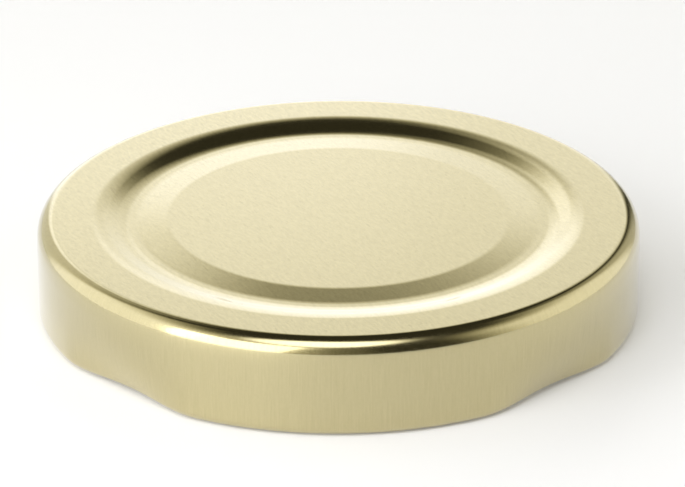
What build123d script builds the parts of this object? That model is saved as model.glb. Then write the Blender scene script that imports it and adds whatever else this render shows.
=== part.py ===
"""Twist-off lid for a wide-mouth glass jar: a drawn tinplate shell with four lugs, and its sealing ring.

Millimetres, +Z up. The lid stands on the curl at its lower edge, with the origin under its centre.
Two of the four lugs face the front (-Y) side, 45 degrees to the left and to the right of it.
"""

import os
from math import cos, radians, sin

from build123d import *

# Tinplate shell, outside sizes
outer_radius = 33.0
height = 10.8
sheet = 0.18
shoulder_radius = 1.87

# Top, from the shoulder inwards: a flat ring, a step down, a groove, a shallow cone and a flat panel
ring_width = 4.13
ring_edge_radius = 7.0
step_slope = 14.4
step_foot_radius = 5.5
groove_width = 0.85
groove_depth = 0.66
cone_width = 3.3
panel_depth = 0.43

# Curl at the lower edge, where the sheet is rolled inwards and its raw edge is tucked away
curl_corner_radius = 0.98
curl_flat_radius = 1.06
curl_top_radius = 0.9
curl_top_flat_radius = 0.84
curl_corner_turn = 70.0
curl_flat_turn = 40.0
curl_tuck_turn = 52.0

# Lugs, where the curl is pressed inwards and flattened
lug_count = 4
lug_middle_angle = 45.0
lug_half_angle = 17.5
lug_section_count = 11
lug_inset = 1.33
lug_rise = 0.35
lug_lean = 20.0
lug_corner_radius = 0.62
lug_flat_radius = 2.0
lug_top_radius = 0.55
lug_top_flat_radius = 1.15

# Sealing compound, flowed into the corner under the outer ring
seal_setback = 0.55
seal_thickness = 0.9
seal_edge_run = 0.6
seal_meniscus_run = 1.1
seal_skirt_reach = 0.15
seal_film = 0.15

# How closely the lofted lugs follow the turned stretches beside them
seam_tolerance = 0.001

# Levels and radii that follow from the sizes above
inner_radius = outer_radius - sheet
skirt_top = height - shoulder_radius
ring_outer_radius = outer_radius - shoulder_radius
ring_inner_radius = ring_outer_radius - ring_width
step_bends_depth = (ring_edge_radius + step_foot_radius) * (1 - cos(radians(step_slope)))
step_bends_width = (ring_edge_radius + step_foot_radius) * sin(radians(step_slope))
step_length = (groove_depth - step_bends_depth) / sin(radians(step_slope))
groove_outer_radius = ring_inner_radius - step_bends_width - step_length * cos(radians(step_slope))
groove_inner_radius = groove_outer_radius - groove_width
panel_radius = groove_inner_radius - cone_width
ring_underside = height - sheet
groove_level = height - groove_depth
panel_level = height - panel_depth
seal_level = ring_underside - seal_thickness
seal_inner_radius = ring_inner_radius + seal_setback
seal_edge_level = skirt_top - seal_skirt_reach


def radial_plane(angle):
    """A plane through the lid's axis, with X outwards at this angle and Y up."""
    outwards = Vector(1, 0, 0).rotate(Axis.Z, angle)
    return Plane(origin=(0, 0, 0), x_dir=outwards, z_dir=outwards.cross(Vector(0, 0, 1)))


def pressed_size(plain, pressed, press):
    """A size of the curl, from its plain value (press 0) to its value in the middle of a lug (press 1)."""
    return plain + press * (pressed - plain)


def skirt_line(press, depth):
    """The line of the skirt and curl at this depth inside the outer face. Returns its two ends."""
    lean = press * lug_lean
    corner = pressed_size(curl_corner_radius, lug_corner_radius, press)
    flat = pressed_size(curl_flat_radius, lug_flat_radius, press)
    top_corner = pressed_size(curl_top_radius, lug_top_radius, press)
    top_flat = pressed_size(curl_top_flat_radius, lug_top_flat_radius, press)

    # The roll starts where the leaning wall is tangent to its outer corner
    flat_sag = (flat - corner) * (1 - sin(radians(curl_corner_turn)))
    roll_middle = Vector(outer_radius - press * lug_inset - corner, press * lug_rise + corner + flat_sag)
    outwards = Vector(1, 0).rotate(Axis.Z, -lean)
    downwards = Vector(0, -1).rotate(Axis.Z, -lean)
    wall_top = Vector(outer_radius - depth, skirt_top)
    wall_end = roll_middle + outwards * (corner - depth)

    if press:
        Spline(wall_top, wall_end, tangents=[(0, -1), downwards])
    else:
        Line(wall_top, wall_end)
    outer_corner = JernArc(wall_end, downwards, corner - depth, lean - curl_corner_turn)
    underside = JernArc(outer_corner @ 1, outer_corner % 1, flat - depth, -curl_flat_turn)
    nose = JernArc(underside @ 1, underside % 1, corner - depth, -curl_corner_turn)
    nose_top = JernArc(nose @ 1, nose % 1, top_corner - depth, -curl_corner_turn)
    tuck = JernArc(nose_top @ 1, nose_top % 1, top_flat - depth, -curl_tuck_turn)
    return wall_top, tuck @ 1


def skirt_outline(press):
    """The closed outline of the sheet, from the shoulder down to the raw edge inside the curl."""
    outer_top, outer_edge = skirt_line(press, 0)
    inner_top, inner_edge = skirt_line(press, sheet)
    Line(outer_top, inner_top)
    Line(outer_edge, inner_edge)


# One lug, through sections fanned about the lid's axis. The press is the square of a parabola,
# so it grows from nothing without a crease, and its middle is close to a straight chord.
with BuildPart() as lug:
    for number in range(lug_section_count):
        across = 2 * number / (lug_section_count - 1) - 1
        with BuildSketch(radial_plane(across * lug_half_angle)):
            with BuildLine():
                skirt_outline((1 - across**2) ** 2)
            make_face()
    loft()

# One plain stretch of skirt and curl, from the end of one lug to the start of the next
with BuildPart() as plain_rim:
    with BuildSketch(radial_plane(lug_half_angle)):
        with BuildLine():
            skirt_outline(0)
        make_face()
    revolve(axis=Axis.Z, revolution_arc=360 / lug_count - 2 * lug_half_angle)

# The top, turned from the middle of the panel out to the end of the shoulder
with BuildPart() as top:
    with BuildSketch(Plane.XZ):
        with BuildLine():
            panel = Line((0, panel_level), (panel_radius, panel_level))
            cone = Line(panel @ 1, (groove_inner_radius, groove_level))
            groove = Line(cone @ 1, (groove_outer_radius, groove_level))
            step_foot = JernArc(groove @ 1, (1, 0), step_foot_radius, step_slope)
            step = PolarLine(step_foot @ 1, step_length, step_slope)
            ring_edge = JernArc(step @ 1, step % 1, ring_edge_radius, -step_slope)
            ring = Line(ring_edge @ 1, (ring_outer_radius, height))
            JernArc(ring @ 1, (1, 0), shoulder_radius, -90)
            offset(amount=sheet, side=Side.RIGHT, closed=True)
        make_face()
    revolve(axis=Axis.Z)

# The shell, one sheet: the top, with a lug and a plain stretch of rim repeated round its shoulder.
# A lug's upper edge is a circle only to within the seam tolerance, so the pieces join with that.
rim = []
for number in range(lug_count):
    angle = lug_middle_angle + 360 / lug_count * number
    rim += [lug.part.rotate(Axis.Z, angle), plain_rim.part.rotate(Axis.Z, angle)]
with BuildPart() as lid_shell:
    add(top.part.fuse(*rim, tol=seam_tolerance))

# The sealing ring: soft compound that fills the corner inside the shoulder. It is flat where the
# jar's rim meets it, and thins to a film on the skirt's wall, as the liquid did before it set.
with BuildPart() as sealing_ring:
    with BuildSketch(Plane.XZ):
        with BuildLine():
            back = Line((seal_inner_radius, ring_underside), (ring_outer_radius, ring_underside))
            corner = JernArc(back @ 1, (1, 0), shoulder_radius - sheet, -90)
            wall = Line(corner @ 1, (inner_radius, seal_edge_level))
            film_edge = Line(wall @ 1, (inner_radius - seal_film, seal_edge_level))
            face_end = film_edge @ 1 + (-seal_meniscus_run, seal_level - seal_edge_level)
            TangentArc(face_end, film_edge @ 1, tangent=(1, 0))
            face = Line(face_end, (seal_inner_radius + seal_edge_run, seal_level))
            Line(face @ 1, back @ 0)
        make_face()
    revolve(axis=Axis.Z)

lid_shell.part.label = "lid_shell"
sealing_ring.part.label = "sealing_ring"

os.makedirs("parts", exist_ok=True)
export_step(lid_shell.part, "parts/lid_shell.step")
export_step(sealing_ring.part, "parts/sealing_ring.step")
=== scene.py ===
"""The dressed twist-off lid: lacquered sheet and sealing ring, on a white floor in a soft studio light.

Metres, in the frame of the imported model: +Z up, the front at -Y, the origin under the lid's centre.
"""

from math import atan2, cos, degrees, pi, radians, sin

import bmesh
import bpy
from mathutils import Euler, Matrix, Vector
from mathutils.geometry import interpolate_bezier


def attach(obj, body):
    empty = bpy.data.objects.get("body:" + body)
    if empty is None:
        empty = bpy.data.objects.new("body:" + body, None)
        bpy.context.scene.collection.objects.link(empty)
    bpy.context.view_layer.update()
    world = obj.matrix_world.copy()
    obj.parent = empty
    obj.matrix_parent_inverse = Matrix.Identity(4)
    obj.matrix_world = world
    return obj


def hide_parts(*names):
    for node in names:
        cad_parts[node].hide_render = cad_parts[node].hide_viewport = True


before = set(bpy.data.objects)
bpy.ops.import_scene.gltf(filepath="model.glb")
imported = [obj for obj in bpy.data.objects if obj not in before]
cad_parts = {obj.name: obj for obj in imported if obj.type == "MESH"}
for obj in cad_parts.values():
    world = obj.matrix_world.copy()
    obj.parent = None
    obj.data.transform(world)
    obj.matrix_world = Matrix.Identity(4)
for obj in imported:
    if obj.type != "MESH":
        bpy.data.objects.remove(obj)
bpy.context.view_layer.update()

# The lid's shell, one round blank of lacquered tinplate 0.18 mm thick. A press draws it into a shallow
# cup with a stepped top, rolls its edge inwards into a curl, and then pushes the curl in at four places,
# which are the lugs that hook under the jar's thread.
outer_radius = 0.033
height = 0.0108
sheet = 0.00018
panel_radius = 0.0187
panel_level = 0.01037
groove_inner_radius = 0.022
groove_level = 0.01014
step_foot_radius = 0.023545
step_top_radius = 0.026115
shoulder_corner_radius = 0.032661
shoulder_end_level = 0.00866
skirt_top = 0.00803
panel_edge_bend = 0.00022
cone_foot_bend = 0.0003
step_foot_bend = 0.000695
ring_edge_bend = 0.000884
shoulder_bend = 0.001537
shoulder_end_bend = 0.000625

curl_corner_radius = 0.00098
curl_flat_radius = 0.00106
curl_top_radius = 0.0009
curl_top_flat_radius = 0.00084
curl_corner_turn = 70
curl_flat_turn = 40
curl_tuck_turn = 52

lug_count = 4
lug_middle_angle = 45
lug_half_angle = 17.5
lug_inset = 0.00133
lug_rise = 0.00035
lug_lean = 20
lug_corner_radius = 0.00062
lug_flat_radius = 0.002
lug_top_radius = 0.00055
lug_top_flat_radius = 0.00115

shell_columns = 400
weld_distance = 0.00001
wall_points = 16
flat_margin = 0.0001
sharp_angle = 40

rolling_angle = -25.5
grain_stretch = 0.28
grain_scale = 3400
dash_scale = 2500
speckle_scale = 4600
streak_scale = 7000
broad_streak_scale = 1500
skirt_blend_start = 0.0316
skirt_blend_end = 0.0325
craze_inner_radius = 0.0258
craze_full_from = 0.0266
craze_full_to = 0.0271
craze_outer_radius = 0.0277
lacquer_shaded = (0.458, 0.4, 0.211, 1)
lacquer_bright = (0.554, 0.488, 0.27, 1)
relief_height = 0.000004


def bend_sheet(line, heading, radius, turn, steps):
    """Adds a bend to a line of points, and returns the heading after it, in degrees."""
    half_step = turn / steps / 2
    chord = 2 * radius * sin(radians(abs(half_step)))
    for _ in range(steps):
        heading += half_step
        line.append(line[-1] + chord * Vector((cos(radians(heading)), sin(radians(heading)))))
        heading += half_step
    return heading


def rim_section(press):
    """Radius and height of the points from the shoulder down the skirt and round the curl."""
    lean = press * lug_lean
    corner = curl_corner_radius + press * (lug_corner_radius - curl_corner_radius)
    flat = curl_flat_radius + press * (lug_flat_radius - curl_flat_radius)
    top_corner = curl_top_radius + press * (lug_top_radius - curl_top_radius)
    top_flat = curl_top_flat_radius + press * (lug_top_flat_radius - curl_top_flat_radius)

    flat_sag = (flat - corner) * (1 - sin(radians(curl_corner_turn)))
    roll_middle = Vector((outer_radius - press * lug_inset - corner, press * lug_rise + corner + flat_sag))
    outwards = Vector((cos(radians(lean)), -sin(radians(lean))))
    downwards = Vector((-sin(radians(lean)), -cos(radians(lean))))
    wall_top = Vector((outer_radius, skirt_top))
    wall_end = roll_middle + corner * outwards
    pull = (wall_end - wall_top).length / 3
    wall = (wall_top, wall_top + Vector((0, -pull)), wall_end - pull * downwards, wall_end)
    line = [point.to_2d() for point in interpolate_bezier(*wall, wall_points)]

    heading = -90 - lean
    heading = bend_sheet(line, heading, corner, lean - curl_corner_turn, 7)
    heading = bend_sheet(line, heading, flat, -curl_flat_turn, 5)
    heading = bend_sheet(line, heading, corner, -curl_corner_turn, 7)
    heading = bend_sheet(line, heading, top_corner, -curl_corner_turn, 7)
    bend_sheet(line, heading, top_flat, -curl_tuck_turn, 6)
    return line


def join_vertices(mesh, vertices):
    """Adds the edges from each vertex to the next."""
    for first, second in zip(vertices, vertices[1:]):
        mesh.edges.new((first, second))


def round_corner(mesh, vertex, bend, segments):
    """Rounds a corner of a line of edges, starting this far before it."""
    bmesh.ops.bevel(mesh, geom=[vertex], offset=bend, offset_type="OFFSET", segments=segments, profile=0.5,
                    affect="VERTICES", material=-1)


def hold_flats(mesh, margin):
    """Splits each long straight run close to its ends, so that shading keeps it flat up to its bends."""
    for edge in [edge for edge in mesh.edges if edge.calc_length() > 4 * margin]:
        for end in edge.verts[:]:
            if end.co.x > margin:
                share = margin / edge.calc_length()
                bmesh.utils.edge_split(edge, end, share)


def turn_round(mesh, columns):
    """Spins a section about the lid's axis into a closed shape."""
    bmesh.ops.spin(mesh, geom=mesh.verts[:] + mesh.edges[:], cent=(0, 0, 0), axis=(0, 0, 1), angle=2 * pi,
                   steps=columns, use_merge=True)
    bmesh.ops.remove_doubles(mesh, verts=mesh.verts[:], dist=weld_distance)
    bmesh.ops.recalc_face_normals(mesh, faces=mesh.faces[:])


def smooth_faces(mesh):
    """Shades the faces smoothly, apart from edges that bend by more than the sharp angle."""
    for face in mesh.faces:
        face.smooth = True
    for edge in mesh.edges:
        edge.smooth = edge.calc_face_angle(0) < radians(sharp_angle)


def new_piece(name, mesh, material):
    """Puts a finished mesh into the scene, with its material."""
    data = bpy.data.meshes.new(name)
    mesh.to_mesh(data)
    mesh.free()
    data.materials.append(material)
    piece = bpy.data.objects.new(name, data)
    bpy.context.scene.collection.objects.link(piece)
    return piece


shell_mesh = bmesh.new()
rim_place = shell_mesh.verts.layers.int.new("rim place")

top_corners = (
    (0, panel_level),
    (panel_radius, panel_level),
    (groove_inner_radius, groove_level),
    (step_foot_radius, groove_level),
    (step_top_radius, height),
    (shoulder_corner_radius, height),
    (outer_radius, shoulder_end_level),
)
top = [shell_mesh.verts.new((radius, 0, level)) for radius, level in top_corners]
rim = [shell_mesh.verts.new((radius, 0, level)) for radius, level in rim_section(0)]
for place, vertex in enumerate(rim):
    vertex[rim_place] = place
join_vertices(shell_mesh, top + rim[:1])
round_corner(shell_mesh, top[1], panel_edge_bend, 4)
round_corner(shell_mesh, top[2], cone_foot_bend, 4)
round_corner(shell_mesh, top[3], step_foot_bend, 8)
round_corner(shell_mesh, top[4], ring_edge_bend, 8)
round_corner(shell_mesh, top[5], shoulder_bend, 20)
round_corner(shell_mesh, top[6], shoulder_end_bend, 5)
hold_flats(shell_mesh, flat_margin)
join_vertices(shell_mesh, rim)
turn_round(shell_mesh, shell_columns)

# Each lug is the same section pushed in, most at its middle and not at all at its two ends
pressed_sections = {}
for vertex in shell_mesh.verts:
    from_lug = (degrees(atan2(vertex.co.y, vertex.co.x)) - lug_middle_angle) % (360 / lug_count)
    from_lug = min(from_lug, 360 / lug_count - from_lug)
    across = round(from_lug / lug_half_angle, 4)
    if vertex[rim_place] and across < 1:
        if across not in pressed_sections:
            pressed_sections[across] = rim_section((1 - across**2) ** 2)
        radius, level = pressed_sections[across][vertex[rim_place]]
        outwards = vertex.co.xy.normalized()
        vertex.co = (radius * outwards.x, radius * outwards.y, level)

bmesh.ops.recalc_face_normals(shell_mesh, faces=shell_mesh.faces[:])
if max(shell_mesh.faces, key=lambda face: face.calc_center_median().z).normal.z < 0:
    bmesh.ops.reverse_faces(shell_mesh, faces=shell_mesh.faces[:])
bmesh.ops.solidify(shell_mesh, geom=shell_mesh.faces[:], thickness=sheet)
smooth_faces(shell_mesh)


def calculate(tree, operation, *values):
    """A Math node on sockets or numbers. Returns its output."""
    node = tree.nodes.new("ShaderNodeMath")
    node.operation = operation
    for socket, value in zip(node.inputs, values):
        if isinstance(value, bpy.types.NodeSocket):
            tree.links.new(value, socket)
        else:
            socket.default_value = value
    return node.outputs[0]


def ease(tree, value, start, end):
    """Rises smoothly from 0 at start to 1 at end, or falls if start is the larger."""
    node = tree.nodes.new("ShaderNodeMapRange")
    node.interpolation_type = "SMOOTHSTEP"
    tree.links.new(value, node.inputs["Value"])
    node.inputs["From Min"].default_value = min(start, end)
    node.inputs["From Max"].default_value = max(start, end)
    node.inputs["To Min"].default_value = 0 if start < end else 1
    node.inputs["To Max"].default_value = 1 if start < end else 0
    return node.outputs["Result"]


def noise(tree, vector, scale, detail=2, roughness=0.5):
    """Soft random patches from 0 to 1, this many to a metre."""
    node = tree.nodes.new("ShaderNodeTexNoise")
    tree.links.new(vector, node.inputs["Vector"])
    node.inputs["Scale"].default_value = scale
    node.inputs["Detail"].default_value = detail
    node.inputs["Roughness"].default_value = roughness
    return node.outputs["Fac"]


def rolled_sheet_group():
    """Marks of rolling and drawing on the sheet: the tone of its grain, and its fine relief."""
    tree = bpy.data.node_groups.new("rolled sheet", "ShaderNodeTree")
    tree.interface.new_socket("Position", in_out="INPUT", socket_type="NodeSocketVector")
    tree.interface.new_socket("Tone", in_out="OUTPUT", socket_type="NodeSocketFloat")
    tree.interface.new_socket("Roughness", in_out="OUTPUT", socket_type="NodeSocketFloat")
    tree.interface.new_socket("Relief", in_out="OUTPUT", socket_type="NodeSocketFloat")
    inputs = tree.nodes.new("NodeGroupInput")
    outputs = tree.nodes.new("NodeGroupOutput")
    position = inputs.outputs["Position"]

    parts = tree.nodes.new("ShaderNodeSeparateXYZ")
    tree.links.new(position, parts.inputs["Vector"])
    x, y, z = parts.outputs
    squares = calculate(tree, "ADD", calculate(tree, "MULTIPLY", x, x), calculate(tree, "MULTIPLY", y, y))
    radius = calculate(tree, "SQRT", squares)
    on_skirt = ease(tree, radius, skirt_blend_start, skirt_blend_end)

    # The mill's rolling direction runs across the top at an angle, as the blank lay in the press
    turned = tree.nodes.new("ShaderNodeVectorRotate")
    turned.rotation_type = "Z_AXIS"
    turned.inputs["Angle"].default_value = radians(rolling_angle)
    tree.links.new(position, turned.inputs["Vector"])
    rolling = tree.nodes.new("ShaderNodeMapping")
    rolling.inputs["Scale"].default_value = (1, grain_stretch, 1)
    tree.links.new(turned.outputs["Vector"], rolling.inputs["Vector"])
    grain = noise(tree, rolling.outputs["Vector"], grain_scale, 3, 0.6)
    dashes = ease(tree, noise(tree, rolling.outputs["Vector"], dash_scale, 1), 0.62, 0.78)
    speckle = noise(tree, position, speckle_scale, 2, 0.6)

    # On the skirt the punch and die leave fine marks from the shoulder down
    round_wall = tree.nodes.new("ShaderNodeCombineXYZ")
    angle = calculate(tree, "ARCTAN2", y, x)
    tree.links.new(calculate(tree, "MULTIPLY", angle, outer_radius), round_wall.inputs["X"])
    tree.links.new(calculate(tree, "MULTIPLY", z, 0.035), round_wall.inputs["Y"])
    streaks = noise(tree, round_wall.outputs["Vector"], streak_scale, 2, 0.6)
    broad_streaks = noise(tree, round_wall.outputs["Vector"], broad_streak_scale, 2)

    # Hairlines in the lacquer, where the step's upper bend stretched it most
    outside = ease(tree, radius, craze_inner_radius, craze_full_from)
    inside = ease(tree, radius, craze_outer_radius, craze_full_to)
    bend = calculate(tree, "MULTIPLY", outside, inside)
    hairlines = ease(tree, noise(tree, position, 2600, 4, 0.75), 0.6, 0.68)
    patches = ease(tree, noise(tree, position, 130, 1), 0.5, 0.62)
    crazed = calculate(tree, "MULTIPLY", calculate(tree, "MULTIPLY", hairlines, bend), patches)

    worn = calculate(tree, "MULTIPLY_ADD", crazed, 1.1, calculate(tree, "MULTIPLY", dashes, 0.35))
    top_tone = calculate(tree, "SUBTRACT", grain, worn)
    skirt_tone = calculate(tree, "ADD", calculate(tree, "MULTIPLY", streaks, 0.6),
                           calculate(tree, "MULTIPLY_ADD", broad_streaks, 0.12, 0.135))
    tone = tree.nodes.new("ShaderNodeMix")
    tree.links.new(on_skirt, tone.inputs["Factor"])
    tree.links.new(top_tone, tone.inputs["A"])
    tree.links.new(skirt_tone, tone.inputs["B"])
    mixed = calculate(tree, "ADD", calculate(tree, "MULTIPLY", tone.outputs["Result"], 0.7),
                      calculate(tree, "MULTIPLY", speckle, 0.3))
    tree.links.new(mixed, outputs.inputs["Tone"])
    tree.links.new(mixed, outputs.inputs["Relief"])
    satin = calculate(tree, "ADD", speckle, on_skirt)
    tree.links.new(satin, outputs.inputs["Roughness"])
    return tree


tinplate = bpy.data.materials.new("lacquered tinplate")
tinplate.use_nodes = True
tree = tinplate.node_tree
shader = tree.nodes["Principled BSDF"]
shader.inputs["Metallic"].default_value = 1
shader.inputs["Coat Weight"].default_value = 1
shader.inputs["Coat Roughness"].default_value = 0.04
shader.inputs["Coat IOR"].default_value = 1.5
where = tree.nodes.new("ShaderNodeTexCoord")
marks = tree.nodes.new("ShaderNodeGroup")
marks.node_tree = rolled_sheet_group()
tree.links.new(where.outputs["Object"], marks.inputs["Position"])
lacquer = tree.nodes.new("ShaderNodeValToRGB")
lacquer.color_ramp.elements[0].position = 0.3
lacquer.color_ramp.elements[0].color = lacquer_shaded
lacquer.color_ramp.elements[1].position = 0.7
lacquer.color_ramp.elements[1].color = lacquer_bright
tree.links.new(marks.outputs["Tone"], lacquer.inputs["Fac"])
tree.links.new(lacquer.outputs["Color"], shader.inputs["Base Color"])
satin = calculate(tree, "MULTIPLY_ADD", marks.outputs["Roughness"], 0.06, 0.1)
tree.links.new(satin, shader.inputs["Roughness"])
relief = tree.nodes.new("ShaderNodeBump")
relief.inputs["Strength"].default_value = 0.5
relief.inputs["Distance"].default_value = relief_height
tree.links.new(marks.outputs["Relief"], relief.inputs["Height"])
tree.links.new(relief.outputs["Normal"], shader.inputs["Normal"])

shell = new_piece("lid_shell_sheet", shell_mesh, tinplate)
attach(shell, "root")
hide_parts("lid_shell")

# The sealing ring, a soft cream compound. It is flowed as a liquid into the corner under the outer ring
# while the lid turns upside down, climbs the wall a little, and sets in an oven.
seal_inner_radius = 0.02755
seal_wall_radius = 0.03282
seal_back_level = 0.01062
seal_face_level = 0.00972
seal_edge_level = 0.00878
seal_film = 0.00015
seal_inner_foot = 0.0006
seal_corner_radius = 0.00169
seal_meniscus = 0.0009
seal_flow_edge = 0.0003
seal_columns = 240
cream_shaded = (0.70, 0.67, 0.58, 1)
cream_bright = (0.76, 0.735, 0.65, 1)
ripple_height = 0.00003

seal_mesh = bmesh.new()
seal_corners = (
    (seal_inner_radius, seal_back_level),
    (seal_wall_radius, seal_back_level),
    (seal_wall_radius, seal_edge_level),
    (seal_wall_radius - seal_film, seal_edge_level),
    (seal_wall_radius - seal_film, seal_face_level),
    (seal_inner_radius + seal_inner_foot, seal_face_level),
)
section = [seal_mesh.verts.new((radius, 0, level)) for radius, level in seal_corners]
join_vertices(seal_mesh, section + section[:1])
round_corner(seal_mesh, section[1], seal_corner_radius, 10)
round_corner(seal_mesh, section[4], seal_meniscus, 10)
round_corner(seal_mesh, section[5], seal_flow_edge, 6)
turn_round(seal_mesh, seal_columns)
smooth_faces(seal_mesh)

compound = bpy.data.materials.new("sealing compound")
compound.use_nodes = True
tree = compound.node_tree
shader = tree.nodes["Principled BSDF"]
where = tree.nodes.new("ShaderNodeTexCoord")
cloud = noise(tree, where.outputs["Object"], 260, 3)
grain = noise(tree, where.outputs["Object"], 5200, 2)
cream = tree.nodes.new("ShaderNodeValToRGB")
cream.color_ramp.elements[0].position = 0.35
cream.color_ramp.elements[0].color = cream_shaded
cream.color_ramp.elements[1].position = 0.65
cream.color_ramp.elements[1].color = cream_bright
tree.links.new(cloud, cream.inputs["Fac"])
tree.links.new(cream.outputs["Color"], shader.inputs["Base Color"])
tree.links.new(calculate(tree, "MULTIPLY_ADD", cloud, 0.15, 0.38), shader.inputs["Roughness"])
ripple = tree.nodes.new("ShaderNodeBump")
ripple.inputs["Strength"].default_value = 0.4
ripple.inputs["Distance"].default_value = ripple_height
tree.links.new(calculate(tree, "MULTIPLY_ADD", grain, 0.15, cloud), ripple.inputs["Height"])
tree.links.new(ripple.outputs["Normal"], shader.inputs["Normal"])

seal = new_piece("sealing_ring_compound", seal_mesh, compound)
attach(seal, "root")
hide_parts("sealing_ring")

# The floor, a wide sheet of smooth white board. It is lit a little less than white, and a glow of its own
# for the camera and for reflections makes up the rest, so that the lid's soft shadow stays on it.
floor_radius = 8
floor_level = -0.00002
board_white = (0.885, 0.89, 0.93, 1)
board_glow = 0.12

board = bpy.data.materials.new("white board")
board.use_nodes = True
tree = board.node_tree
shader = tree.nodes["Principled BSDF"]
shader.inputs["Base Color"].default_value = board_white
shader.inputs["Roughness"].default_value = 0.55
shader.inputs["Emission Color"].default_value = (1, 1, 1, 1)
ray = tree.nodes.new("ShaderNodeLightPath")
seen = calculate(tree, "MAXIMUM", ray.outputs["Is Camera Ray"], ray.outputs["Is Glossy Ray"])
seen = calculate(tree, "MAXIMUM", seen, ray.outputs["Is Transmission Ray"])
tree.links.new(calculate(tree, "MULTIPLY", seen, board_glow), shader.inputs["Emission Strength"])

floor_mesh = bmesh.new()
bmesh.ops.create_circle(floor_mesh, cap_ends=True, segments=96, radius=floor_radius,
                        matrix=Matrix.Translation((0, 0, floor_level)))
floor = new_piece("floor", floor_mesh, board)

# The studio, a dim room with soft panels of light round the lid and one over the camera. The dark gaps
# between them draw the lines along the metal's edges, and the dimmer the light is, the warmer.
room_level = 0.04
over_camera = Vector((-0.06, -0.34, 0.938))
over_camera_level = 3.1
dim_light = (1, 0.94, 0.6, 1)
full_light = (1, 1, 1, 1)
full_light_share = 0.61

world = bpy.data.worlds.new("studio")
bpy.context.scene.world = world
world.use_nodes = True
tree = world.node_tree
where = tree.nodes.new("ShaderNodeTexCoord")
direction = where.outputs["Generated"]
parts = tree.nodes.new("ShaderNodeSeparateXYZ")
tree.links.new(direction, parts.inputs["Vector"])
x, y, z = parts.outputs
forwards = calculate(tree, "MULTIPLY", y, -1)
elevation = calculate(tree, "MULTIPLY", calculate(tree, "ARCSINE", z), 180 / pi)
from_back = calculate(tree, "MULTIPLY", calculate(tree, "ARCTAN2", x, y), 180 / pi)
from_front = calculate(tree, "MULTIPLY", calculate(tree, "ARCTAN2", x, forwards), 180 / pi)


def light_panel(azimuth, level, left, right, side_fade, top, top_fade):
    """A soft panel of light from the floor up to an elevation, between two azimuths, in degrees."""
    from_left = ease(tree, azimuth, left - side_fade, left + side_fade)
    from_right = ease(tree, azimuth, right + side_fade, right - side_fade)
    below_top = ease(tree, elevation, top + top_fade, top - top_fade)
    across = calculate(tree, "MULTIPLY", from_left, from_right)
    return calculate(tree, "MULTIPLY", calculate(tree, "MULTIPLY", across, below_top), level)


# What the flat top reflects comes from behind the lid, and the shoulder's bands from its sides and front
panels_behind = (
    light_panel(from_back, 1.64, -20, -4, 6, 36, 9),
    light_panel(from_back, 1.64, -12, 6, 7, 29, 9),
    light_panel(from_back, 1.33, -5, 14, 5, 31, 9),
    light_panel(from_back, 0.9, -60, -14, 7, 45, 14),
    light_panel(from_back, 0.62, 24, 60, 7, 44, 14),
)
panels_beside = (
    light_panel(from_back, 1.6, -125, -42, 13, 56, 16),
    light_panel(from_back, 1.35, 38, 106, 13, 50, 16),
)
panels_in_front = (
    light_panel(from_front, 0.5, -70, -3, 10, 60, 20),
    light_panel(from_front, 1.3, 60, 110, 21, 50, 16),
    light_panel(from_front, 0.2, -40, 12, 9, 60, 20),
)
toward = tree.nodes.new("ShaderNodeVectorMath")
toward.operation = "DOT_PRODUCT"
tree.links.new(direction, toward.inputs[0])
toward.inputs[1].default_value = over_camera
overhead = ease(tree, toward.outputs["Value"], 0.92, 0.975)
light = calculate(tree, "MULTIPLY_ADD", overhead, over_camera_level, room_level)
for panel in panels_behind + panels_beside + panels_in_front:
    light = calculate(tree, "MAXIMUM", light, panel)
warmth = tree.nodes.new("ShaderNodeValToRGB")
warmth.color_ramp.elements[0].position = 0
warmth.color_ramp.elements[0].color = dim_light
warmth.color_ramp.elements[1].position = 1
warmth.color_ramp.elements[1].color = full_light
tree.links.new(calculate(tree, "MULTIPLY", light, full_light_share), warmth.inputs["Fac"])
background = tree.nodes["Background"]
tree.links.new(warmth.outputs["Color"], background.inputs["Color"])
tree.links.new(light, background.inputs["Strength"])

# The key lamp, a soft box close to the lid on its left front. It is near enough for the floor on its own
# side to be the brightest.
key_distance = 0.25
key_from_front = -40
key_elevation = 24
key_width = 0.2
key_height = 0.2
key_power = 0.36

key_data = bpy.data.lights.new("key lamp", "AREA")
key_data.shape = "RECTANGLE"
key_data.size = key_width
key_data.size_y = key_height
key_data.energy = key_power
key = bpy.data.objects.new("key lamp", key_data)
bpy.context.scene.collection.objects.link(key)
key_direction = Vector((sin(radians(key_from_front)) * cos(radians(key_elevation)),
                        -cos(radians(key_from_front)) * cos(radians(key_elevation)),
                        sin(radians(key_elevation))))
key.location = key_distance * key_direction
key.rotation_euler = key_direction.to_track_quat("Z", "Y").to_euler()
key.visible_camera = False

# The camera, where the photograph was taken from: half a metre away with a long lens
camera_distance = 0.5
camera_elevation = 24.71
aim_height = 0.0054
aim_up = 0.167
aim_right = 0.054
camera_roll = -0.23
lens = 239.4
sensor_width = 36

camera_data = bpy.data.cameras.new("camera")
camera_data.lens = lens
camera_data.sensor_width = sensor_width
camera = bpy.data.objects.new("camera", camera_data)
bpy.context.scene.collection.objects.link(camera)
camera_reach = camera_distance * cos(radians(camera_elevation))
camera_rise = camera_distance * sin(radians(camera_elevation))
camera.location = (0, -camera_reach, aim_height + camera_rise)
aim = Euler((radians(90 - camera_elevation + aim_up), 0, radians(-aim_right))).to_matrix()
camera.rotation_euler = (aim @ Matrix.Rotation(radians(camera_roll), 3, "Z")).to_euler()
bpy.context.scene.camera = camera
bpy.context.scene.view_settings.view_transform = "Standard"
